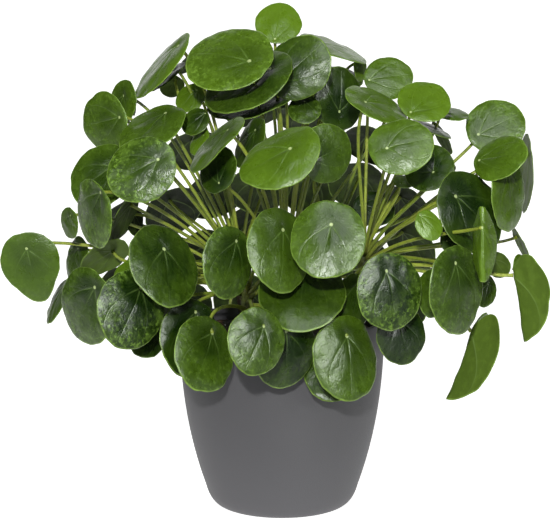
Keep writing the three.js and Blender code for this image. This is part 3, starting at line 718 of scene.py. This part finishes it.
def front_leaf(x, z, depth, long, short, lean, hub_x, hub_z, light, mottled,
               fold=8, arch=8, point=0.04, notch=0):
    middle, further = on_sight_line(x, z, depth)
    to_eye = unit(EYE - middle)
    right = unit(vector(1, 0, 0) - to_eye * to_eye[0])
    up = np.cross(to_eye, right)
    openness = short / long
    tilt = math.sqrt(1 - openness * openness)
    lean = math.radians(lean)
    normal = right * tilt * math.cos(lean) + up * tilt * math.sin(lean) + to_eye * openness
    offset = right * hub_x + up * hub_z
    offset = offset - to_eye * (offset @ normal) / (to_eye @ normal)
    radius = long * further
    share = min(max(np.linalg.norm(offset) * further / radius, NEAREST_HUB), FURTHEST_HUB)
    tip = -unit(offset)
    return new_leaf(middle - tip * share * radius, normal, tip, radius=radius, share=share,
                    fold=fold, arch=arch, point=point, notch=notch, light=light, mottled=mottled)


def back_leaf(x, z, depth, radius, chance):
    middle, _ = on_sight_line(x, z, depth)
    normal = unit(vector(middle[0] / BACK_WIDTH ** 2, middle[1] / BACK_DEPTH ** 2,
                         (middle[2] - BACK_CENTRE) / BACK_HEIGHT ** 2))
    normal = unit(normal + vector(0, 0, BACK_UPWARD))
    spin = (chance - 0.5) * 2 * BACK_SPIN
    downhill = unit(vector(0, 0, -1) + normal * normal[2])
    tip = downhill * math.cos(spin) + np.cross(normal, downhill) * math.sin(spin)
    return new_leaf(middle - tip * BACK_HUB * radius, normal, tip, radius=radius, share=BACK_HUB,
                    fold=BACK_FOLD, arch=BACK_ARCH, point=BACK_TIP, notch=0,
                    light=BACK_PAINTED_SHADE_LIGHTNESS * (chance * 7 % 1), mottled=chance * 13 % 1)


LEAVES = {name: [front_leaf(*row) for row in rows] for name, rows in FRONT_LEAVES.items()}
back_draw = seeded_draw(BACK_SEED)
for stem_name, rows in BACK_LEAVES.items():
    LEAVES.setdefault(stem_name, []).extend(back_leaf(*row, next(back_draw)) for row in rows)


# Blades: round, leathery and about a millimetre thick. The stalk joins the underside away
# from the middle; from there one straight vein and two bowed ones sink into the upper face,
# and the face swells a little between them.
BLADE_SEED = 5
BLADE_THICKNESS = 0.8
BLADE_FULLNESS = 1.035
BLADE_LENGTHENING = 0.02
BLADE_TIP_SPREAD, BLADE_NOTCH_SPREAD = 0.45, 0.35
BLADE_ROUND_FROM, BLADE_ROUND_WIDTH = 0.955, 0.045
CREASED_FOLD = 30
CREASE_WIDTH = 0.08
MIDRIB_WIDTH, MIDRIB_DEPTH = 0.055, 0.012
BOWED_VEIN_WIDTH, BOWED_VEIN_DEPTH = 0.06, 0.009
BOWED_VEIN_REACH = 0.6
BOWED_VEIN_CURVE = 0.75 * math.pi
BOWED_VEIN_END = 1.2
VEIN_START, VEIN_FADING = 0.12, 0.6
DIMPLE_WIDTH, DIMPLE_DEPTH = 0.15, 0.026
EDGE_WAVE_HEIGHT = 0.024
EDGE_DROP = 0.02
OUTLINE_WAVES = ((4, 0.010), (7, 0.007), (13, 0.005), (19, 0.004))
FACE_HILLS = ((0.95, 0.014), (0.42, 0.0065))
BLADE_SPOKES = 72
BLADE_RINGS = (0.05, 0.11, 0.18, 0.26, 0.34, 0.42, 0.50, 0.58, 0.66, 0.74, 0.81, 0.87, 0.92,
               0.955, 0.98, 0.995, 1)


def is_creased(leaf):
    return abs(leaf.fold) > CREASED_FOLD


def bent(leaf, along, across, lift):
    """Points of a blade: along and across from the hub in its flat outline, then bent about the
    midrib and along it, and lifted off the bent sheet."""
    crease = leaf.radius * (CREASE_WIDTH if is_creased(leaf) else 1)
    reach = np.minimum(np.abs(across), crease)
    fold, arch = math.radians(leaf.fold), math.radians(leaf.arch)
    turn = fold * reach / crease
    beyond = np.abs(across) - reach
    sideways = np.sign(across) * (np.sin(turn) * crease / fold + beyond * np.cos(turn))
    sag = (1 - np.cos(turn)) * crease / fold + beyond * np.sin(turn)
    bend = arch * along / leaf.radius
    stretch = leaf.radius / arch
    forward = np.sin(bend) * stretch
    droop = (1 - np.cos(bend)) * stretch
    points = (leaf.hub + np.outer(forward, leaf.tip) + np.outer(sideways, leaf.side)
              - np.outer(sag + droop, leaf.normal))
    facing = np.outer(np.cos(turn) * np.cos(bend), leaf.normal)
    facing += np.outer(np.sign(across) * np.sin(turn), leaf.side) + np.outer(np.sin(bend), leaf.tip)
    facing /= np.linalg.norm(facing, axis=1)[:, None]
    return points + facing * np.asarray(lift)[:, None]


def rim_radius(turn, leaf):
    """How far the rim is from the blade's middle at a turn from its tip, in radii."""
    turned = np.arctan2(np.sin(turn), np.cos(turn))
    corner = leaf.point * hump(turned, BLADE_TIP_SPREAD)
    inlet = leaf.notch * hump(math.pi - np.abs(turned), BLADE_NOTCH_SPREAD)
    return BLADE_FULLNESS + BLADE_LENGTHENING * (np.cos(2 * turned) - 1) + corner - inlet


def relief(across, along, share, hub_share, waves):
    """How far the blade's face stands off its smooth sheet, in radii."""
    toward_tip = along / (1 + hub_share)
    begun = np.clip(toward_tip / VEIN_START, 0, 1)
    fading = 1 - VEIN_FADING * np.clip(toward_tip, 0, 1)
    midrib = hump(across, MIDRIB_WIDTH) * begun * fading
    bow_turn = BOWED_VEIN_CURVE * np.clip(toward_tip, 0, BOWED_VEIN_END)
    slope = BOWED_VEIN_REACH * BOWED_VEIN_CURVE / (1 + hub_share) * np.cos(bow_turn)
    from_bow = (np.abs(across) - BOWED_VEIN_REACH * np.sin(bow_turn)) / np.sqrt(1 + slope ** 2)
    bowed = hump(from_bow, BOWED_VEIN_WIDTH) * begun * fading
    dimple = np.exp(-((across ** 2 + along ** 2) / DIMPLE_WIDTH ** 2))
    turn = np.arctan2(across, along)
    edge_wave = share ** 3 * (waves[0] * np.sin(2 * turn + waves[1])
                              + waves[2] * np.sin(3 * turn + waves[3]))
    return (-MIDRIB_DEPTH * midrib - BOWED_VEIN_DEPTH * bowed - DIMPLE_DEPTH * dimple
            + EDGE_WAVE_HEIGHT * edge_wave - EDGE_DROP * share ** 8)


def blade_part(leaf, draw, spokes=BLADE_SPOKES, rings=BLADE_RINGS, thickness=BLADE_THICKNESS):
    """Both faces of a blade and its rounded rim, closed. The upper face comes first."""
    radius, hub_share = leaf.radius, leaf.share
    turns = turns_round(spokes)
    jitter = 1 + sum(size * np.sin(count * turns + draw.uniform(0, 6))
                     for count, size in OUTLINE_WAVES)
    reach = radius * rim_radius(turns, leaf) * jitter
    shares = np.repeat(rings, spokes)
    along = shares * np.tile(reach * np.cos(turns) + hub_share * radius, len(rings))
    across = shares * np.tile(reach * np.sin(turns), len(rings))
    shares, along, across = (np.append(0, values) for values in (shares, along, across))
    waves = draw.uniform(-1, 1, 4) * (1, math.pi, 1, math.pi)
    height = relief(across / radius, along / radius, shares, hub_share, waves)
    flat = np.column_stack([across, along]) / radius
    height = radius * (height + sum(size * rolling(flat, draw, wavelength)
                                    for wavelength, size in FACE_HILLS))
    round_off = np.sqrt(1 - np.clip((shares - BLADE_ROUND_FROM) / BLADE_ROUND_WIDTH, 0, 1) ** 2)
    half = thickness / 2 * round_off
    upper = bent(leaf, along, across, height + half)
    lower = bent(leaf, along, across, height - half)[:-spokes]
    total = len(upper)

    def corner(ring, k, under):
        number = 1 + ring * spokes + k % spokes
        return number + total if under and number < total - spokes else number

    faces = []
    for under in (False, True):
        hub = total if under else 0
        for k in range(spokes):
            around = (hub, corner(0, k, under), corner(0, k + 1, under))
            faces.append(around[::-1] if under else around)
            for ring in range(len(rings) - 1):
                square = (corner(ring, k, under), corner(ring + 1, k, under),
                          corner(ring + 1, k + 1, under), corner(ring, k + 1, under))
                faces.append(square[::-1] if under else square)
    place = np.column_stack([across / radius, along / radius, shares])
    # Each point carries its leaf's lightness, partly painted shade and sheen, with its mottling and
    # hub share.
    tone = np.tile((leaf.light, leaf.mottled, hub_share), (total, 1))
    values = {"blade_place": np.vstack([place, place[:-spokes]]),
              "blade_tone_and_painted_light": np.vstack([tone, tone[:-spokes]])}
    return np.vstack([upper, lower]), faces, values


# The veins as two masks: the midrib with the bowed vein on each side of it, and the fine side
# veins that fan out from the hub.
NATURAL_BASE = 2.718
MAIN_VEIN_ONSET, MAIN_VEIN_FADING, MAIN_VEIN_NARROWING = 12, -0.75, -0.5
BOWED_VEIN_SLOPE = 0.95
SIDE_VEINS, SIDE_VEIN_ROOT, SIDE_VEIN_WOBBLE, SIDE_VEIN_SHARPNESS = 19, 0.15, 9, 2.5
veins, veins_in, veins_out = new_group(
    "leaf veins", {"Hub share": 0.5, "Width": 0.02}, ["Main veins", "Side veins"])


def ridge(distance, width):
    """1 on the line, falling softly to 0 at a few widths from it."""
    steps = reckon("DIVIDE", distance, width)
    return reckon("POWER", NATURAL_BASE, times(times(steps, steps), -1))


vein_across, vein_along, _ = split(veins_in["Place"])
toward_tip = reckon("DIVIDE", vein_along, reckon("ADD", veins_in["Hub share"], 1))
vein_begun = times(toward_tip, MAIN_VEIN_ONSET, clamp=True)
vein_fading = times_plus(toward_tip, MAIN_VEIN_FADING, 1, clamp=True)
vein_width = times(veins_in["Width"], times_plus(toward_tip, MAIN_VEIN_NARROWING, 1))
midrib_line = ridge(vein_across, vein_width)
bow_turn = times(reckon("MINIMUM", toward_tip, BOWED_VEIN_END), BOWED_VEIN_CURVE)
bow_line = times(reckon("SINE", bow_turn), BOWED_VEIN_REACH)
bow_slope = times(reckon("COSINE", bow_turn), BOWED_VEIN_SLOPE)
bow_lean = reckon("SQRT", times_plus(bow_slope, bow_slope, 1))
from_bow = reckon("DIVIDE", reckon("SUBTRACT", reckon("ABSOLUTE", vein_across), bow_line), bow_lean)
main_line = reckon("MAXIMUM", midrib_line, ridge(from_bow, vein_width))
main_line = times(times(main_line, vein_begun), vein_fading)
side_turn = reckon("ARCTAN2", vein_across, reckon("ADD", vein_along, SIDE_VEIN_ROOT))
side_wobble = place_node(veins, "ShaderNodeTexNoise", {"Scale": 3, "Vector": veins_in["Place"]})
side_wobble = times(side_wobble.outputs[0], SIDE_VEIN_WOBBLE)
side_wave = reckon("ABSOLUTE", reckon("SINE", times_plus(side_turn, SIDE_VEINS, side_wobble)))
side_line = reckon("POWER", reckon("SUBTRACT", 1, side_wave), SIDE_VEIN_SHARPNESS)
feed(veins_out, {"Main veins": main_line, "Side veins": side_line})


def point_value(tree, name):
    """A named value that the mesh carries at each of its points."""
    return place_node(tree, "ShaderNodeAttribute", attribute_name=name).outputs["Vector"]


def leaf_sockets(tree):
    """What both faces of a blade are shaded from: across, along and outwards on the blade; how
    light it is, partly painted shade and sheen, and how mottled; and its main and side veins."""
    place = point_value(tree, "blade_place")
    light, mottled, hub_share = split(point_value(tree, "blade_tone_and_painted_light"))
    lines = place_node(tree, "ShaderNodeGroup",
                       {"Place": place, "Hub share": hub_share, "Width": 0.022}, node_tree=veins)
    return (*split(place), light, mottled, *lines.outputs)


def with_margin(colour, outwards, unevenness):
    """The colour with the pale line that runs along the rim of a leaf, thinner in some places."""
    margin = times(ramp(outwards, 0.968, 0.984), times_plus(unevenness, 0.35, 0.35))
    return blend_colours(margin, colour, (0.24, 0.38, 0.06, 1))


leaf_top, top_surface, top_place = new_finish("glossy leaf")
(top_across, top_along, top_outwards, top_tone_and_painted_light, top_mottled,
 top_main_veins, top_side_veins) = leaf_sockets(leaf_top.node_tree)
near_margin = ramp(top_outwards, 0.25, 0.95, interpolation_type="SMOOTHSTEP")
tone_cloud = patchy(top_place, 55, softness=0.3)
# The green's lightness per leaf, in random patches: partly the leaf's own tone, partly painted
# shade on leaves in shadow and painted sheen on leaves that gleam.
painted_light_and_tone_share = times_plus(reckon("SUBTRACT", tone_cloud, 0.5), 0.2, top_tone_and_painted_light)
painted_light_and_tone_share = times_plus(reckon("SUBTRACT", near_margin, 0.6), 0.16, painted_light_and_tone_share, clamp=True)
leaf_colour = blend_colours(painted_light_and_tone_share, (0.0048, 0.0165, 0.0010, 1), (0.098, 0.185, 0.007, 1))
speckles = patchy(top_place, 300, 0.575, 0.09)
blotches = patchy(top_place, 130, 0.56, 0.12)
speckle_share = times(reckon("MAXIMUM", speckles, times(blotches, 0.5)),
                      times(near_margin, times(top_mottled, 0.5)))
leaf_colour = blend_colours(speckle_share, leaf_colour, (0.22, 0.38, 0.05, 1))
flat_place = place_node(leaf_top.node_tree, "ShaderNodeCombineXYZ", {0: top_across, 1: top_along})
hub_away = place_node(leaf_top.node_tree, "ShaderNodeVectorMath", {0: flat_place.outputs[0]},
                      operation="LENGTH").outputs["Value"]
near_hub = ramp(hub_away, 0.7, 0.05, interpolation_type="SMOOTHSTEP")
feed(near_hub.node, {"To Min": 0.25})
vein_share = times_plus(top_side_veins, 0.1, times(top_main_veins, 0.3))
leaf_colour = blend_colours(times(near_hub, vein_share), leaf_colour, (0.21, 0.34, 0.08, 1))
leaf_colour = with_margin(leaf_colour, top_outwards, blotches)
leaf_colour = blend_colours(ramp(hub_away, 0.056, 0.032), leaf_colour, (0.46, 0.56, 0.24, 1), 0.85)
gloss_cloud = patchy(top_place, 120, softness=0.3)
wrinkles = patchy(top_place, 380, softness=0.35)
feed(top_surface, {"Base Color": leaf_colour, "Specular IOR Level": 0.36,
                   "Roughness": times_plus(gloss_cloud, 0.14, 0.24)})
leaf_height = times_plus(top_side_veins, -0.25, times(top_main_veins, -0.8))
leaf_height = reckon("ADD", gloss_cloud, leaf_height)
leaf_height = times_plus(wrinkles, 0.16, leaf_height)
roughen(top_surface, leaf_height, 0.5, 0.0005)

leaf_under, under_surface, under_place = new_finish("matt leaf underside")
(_, _, under_outwards, under_tone_and_painted_light, _,
 under_main_veins, under_side_veins) = leaf_sockets(leaf_under.node_tree)
under_blotches = patchy(under_place, 110, 0.56, 0.12)
# The underside's lightness comes from the same leaf value, so it also carries painted shade and
# sheen.
under_share = times_plus(reckon("SUBTRACT", under_blotches, 0.5), 0.1, under_tone_and_painted_light, clamp=True)
under_colour = blend_colours(under_share, (0.007, 0.015, 0.0012, 1), (0.165, 0.275, 0.030, 1))
under_colour = blend_colours(under_main_veins, under_colour, (0.20, 0.30, 0.09, 1), 0.4)
under_grain = patchy(under_place, 420, softness=0.3)
feed(under_surface, {"Base Color": with_margin(under_colour, under_outwards, under_blotches),
                     "Specular IOR Level": 0.2,
                     "Roughness": times_plus(under_grain, 0.15, 0.5)})
under_height = times_plus(under_side_veins, 0.25, times(under_main_veins, 0.8))
roughen(under_surface, times_plus(under_grain, 0.3, under_height), 0.5, 0.0004)

blade_draw = np.random.RandomState(BLADE_SEED)
for stem_name, leaves in LEAVES.items():
    parts = []
    for leaf in leaves:
        points, faces, values = blade_part(leaf, blade_draw)
        parts.append((points, faces, np.repeat((0, 1), len(faces) // 2), values))
    blades = join_up(f"blades_{stem_name}", parts, [leaf_top, leaf_under])
    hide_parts(f"foliage_{stem_name}")


# Leaf stalks: long, thin, round and fleshy, thicker where they spring from the green growing
# tip and where they meet the blade. The lowest leaves spring lowest on the tip, each from
# behind a small papery scale.
STALK_SEED = 11
TIP_LENGTH = 34
TIP_RADIUS, TIP_END_RADIUS = 5.6, 3.6
TIP_PROFILE = ((0, 0.5, 0.94, 1), (TIP_RADIUS, TIP_RADIUS, TIP_END_RADIUS, 0.6))
TIP_OVERRUN, TIP_SINK = 2, 0.2
TIP_STEPS, TIP_SIDES = 40, 20
TIP_RIDGES, TIP_RIDGE_HEIGHT = 26, 0.25
TIP_TINT, TIP_REACH = 0.35, 0.15
ROOT_SINK = 1.6
LOWEST_ROOT, ROOT_SPREAD = 0.14, 0.78
PATH_ABOVE_RIM = 26
STALK_RISE = 0.35
STALK_START_PULL, STALK_END_PULL = 0.36, 0.22
STALK_END_SHARE, STALK_END_DEPTH = 0.028, 0.2
STALK_STEPS, STALK_SIDES = 30, 10
STALK_RADIUS, STALK_TAPER = 1.6, 0.2
YOUNGEST_STALK, STALK_GROWTH, GROWTH_LIMIT = 0.85, 0.15, 1.2
USUAL_RADIUS = 30
STALK_TINT, TINT_BY_LEAF_TONE_AND_PAINTED_LIGHT, TINT_STRAY = 0.25, 0.5, 0.2
CREASED_SQUARE, CREASED_STRAIGHT = 0.5, 0.8
FOOT_SWELL, FOOT_SWELL_LENGTH = 0.9, 6
END_SWELL, END_SWELL_LENGTH = 0.45, 3
SEAT_RING, SEAT_FLATS = 0.5, 1.03
SCALE_AWAY, SCALE_BELOW, SCALE_LEAN = 1.6, 3.5, 0.3
SCALE_SHAPE = {"radius": 3.2, "share": 0.8, "fold": 28, "arch": 6, "point": 0.35, "notch": 0,
               "light": 0.5, "mottled": 0}
SCALE_SPOKES, SCALE_RINGS, SCALE_THICKNESS = 16, (0.3, 0.6, 0.85, 1), 0.5


def stalk_seat(leaf):
    """The direction of the flat in the blade that its stalk comes square to."""
    if is_creased(leaf):
        return leaf.normal
    turns = turns_round(3)
    reach = leaf.radius * rim_radius(turns, leaf) * SEAT_FLATS
    corners = bent(leaf, SEAT_RING * (reach * np.cos(turns) + leaf.share * leaf.radius),
                   SEAT_RING * reach * np.sin(turns), np.zeros(3))
    return unit(np.cross(corners[1] - corners[0], corners[2] - corners[0]))


def stalk_path(crown, leaf, rank):
    """The stalk's line from its root on the growing tip to the blade, and how far that is."""
    outwards = math.atan2(leaf.hub[1] - crown[1], leaf.hub[0] - crown[0])
    thickness = TIP_RADIUS + (TIP_END_RADIUS - TIP_RADIUS) * max(0, 2 * rank - 1)
    start = vector(crown[0] + (thickness - ROOT_SINK) * math.cos(outwards),
                   crown[1] + (thickness - ROOT_SINK) * math.sin(outwards),
                   crown[2] + TIP_LENGTH * (LOWEST_ROOT + ROOT_SPREAD * rank))
    arrive = stalk_seat(leaf)
    below = -STALK_END_SHARE * leaf.radius - STALK_END_DEPTH
    end = bent(leaf, np.zeros(1), np.zeros(1), np.full(1, below))[0]
    span = end - start
    length = np.linalg.norm(span)
    leave = unit(span / length + vector(0, 0, STALK_RISE))
    if is_creased(leaf):
        arrive = unit(arrive * CREASED_SQUARE + span / length * CREASED_STRAIGHT)
    first = start + leave * STALK_START_PULL * length
    second = end - arrive * STALK_END_PULL * length
    for bend in (first, second):
        bend[2] = max(bend[2], POT_HEIGHT + PATH_ABOVE_RIM)
    return cubic(start, first, second, end, np.linspace(0, 1, STALK_STEPS)), length


stalk_green, stalk_surface, stalk_place = new_finish("leaf stalk")
stalk_share, _, stalk_tint = split(point_value(stalk_green.node_tree, "stalk_place"))
stalk_colour = blend_colours(stalk_tint, (0.140, 0.205, 0.018, 1), (0.390, 0.450, 0.050, 1))
stalk_colour = blend_colours(ramp(stalk_share, 0.2, 0), stalk_colour, (0.100, 0.075, 0.028, 1), 0.6)
stalk_colour = blend_colours(patchy(stalk_place, 260, 0.58, 0.1), stalk_colour,
                             (0.075, 0.115, 0.022, 1), 0.4)
stalk_grain = patchy(stalk_place, 500, softness=0.3)
feed(stalk_surface, {"Base Color": stalk_colour, "Subsurface Weight": 0.2,
                     "Subsurface Radius": (0.8, 1.0, 0.3), "Subsurface Scale": 0.0015,
                     "Roughness": times_plus(stalk_grain, 0.15, 0.46)})
roughen(stalk_surface, stalk_grain, 0.3, 0.0003)
scale_brown = two_tone("papery scale", 420, (0.085, 0.055, 0.025, 1), (0.180, 0.150, 0.060, 1), 0.7)

stalk_draw = np.random.RandomState(STALK_SEED)
stalk_shares = np.linspace(0, 1, STALK_STEPS)
tip_shares = np.linspace(0, 1, TIP_STEPS)
for stem_name, (_, crown) in STEMS.items():
    own = sorted(LEAVES[stem_name], key=lambda leaf: math.atan2(
        leaf.hub[2] - crown[2], math.hypot(leaf.hub[0] - crown[0], leaf.hub[1] - crown[1])))
    parts = []
    for number, leaf in enumerate(own):
        path, length = stalk_path(crown, leaf, number / (len(own) - 1))
        swell = (FOOT_SWELL * np.exp(-stalk_shares * length / FOOT_SWELL_LENGTH)
                 + END_SWELL * np.exp(-(1 - stalk_shares) * length / END_SWELL_LENGTH))
        growth = STALK_GROWTH * min(leaf.radius / USUAL_RADIUS, GROWTH_LIMIT)
        radii = STALK_RADIUS * (YOUNGEST_STALK + growth) - STALK_TAPER * stalk_shares + swell
        points, faces, place = tube(path, radii[:, None], STALK_SIDES)
        # The stalk takes a share of its leaf's lightness, and with it the painted shade and sheen
        # set for that leaf.
        tint = STALK_TINT + TINT_BY_LEAF_TONE_AND_PAINTED_LIGHT * leaf.light + stalk_draw.uniform(-TINT_STRAY, TINT_STRAY)
        place = np.column_stack([place, np.full(len(points), np.clip(tint, 0, 1))])
        parts.append((points, faces, 0, {"stalk_place": place}))
        outward = unit(vector(leaf.hub[0] - crown[0], leaf.hub[1] - crown[1], 0))
        scale_leaf = new_leaf(path[0] + outward * SCALE_AWAY - vector(0, 0, SCALE_BELOW),
                              unit(outward + vector(0, 0, SCALE_LEAN)),
                              unit(vector(0, 0, 1) - outward * SCALE_LEAN), **SCALE_SHAPE)
        points, faces, _ = blade_part(scale_leaf, stalk_draw, SCALE_SPOKES, SCALE_RINGS,
                                      SCALE_THICKNESS)
        parts.append((points, faces, 1, {"stalk_place": vector(0, 0, 0.5)}))
    tip_radii = np.interp(tip_shares, *TIP_PROFILE)[:, None] + TIP_RIDGE_HEIGHT * np.sin(
        TIP_RIDGES * tip_shares[:, None] * math.pi + 2 * turns_round(TIP_SIDES))
    tip_path = (vector(*crown) + np.outer(tip_shares, (0, 0, TIP_LENGTH + TIP_OVERRUN))
                - vector(0, 0, TIP_SINK))
    points, faces, place = tube(tip_path, tip_radii, TIP_SIDES)
    place = np.column_stack([TIP_REACH * place[:, 0], place[:, 1], np.full(len(points), TIP_TINT)])
    parts.append((points, faces, 0, {"stalk_place": place}))
    stalks = join_up(f"stalks_{stem_name}", parts, [stalk_green, scale_brown])
    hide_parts(f"foliage_{stem_name}")
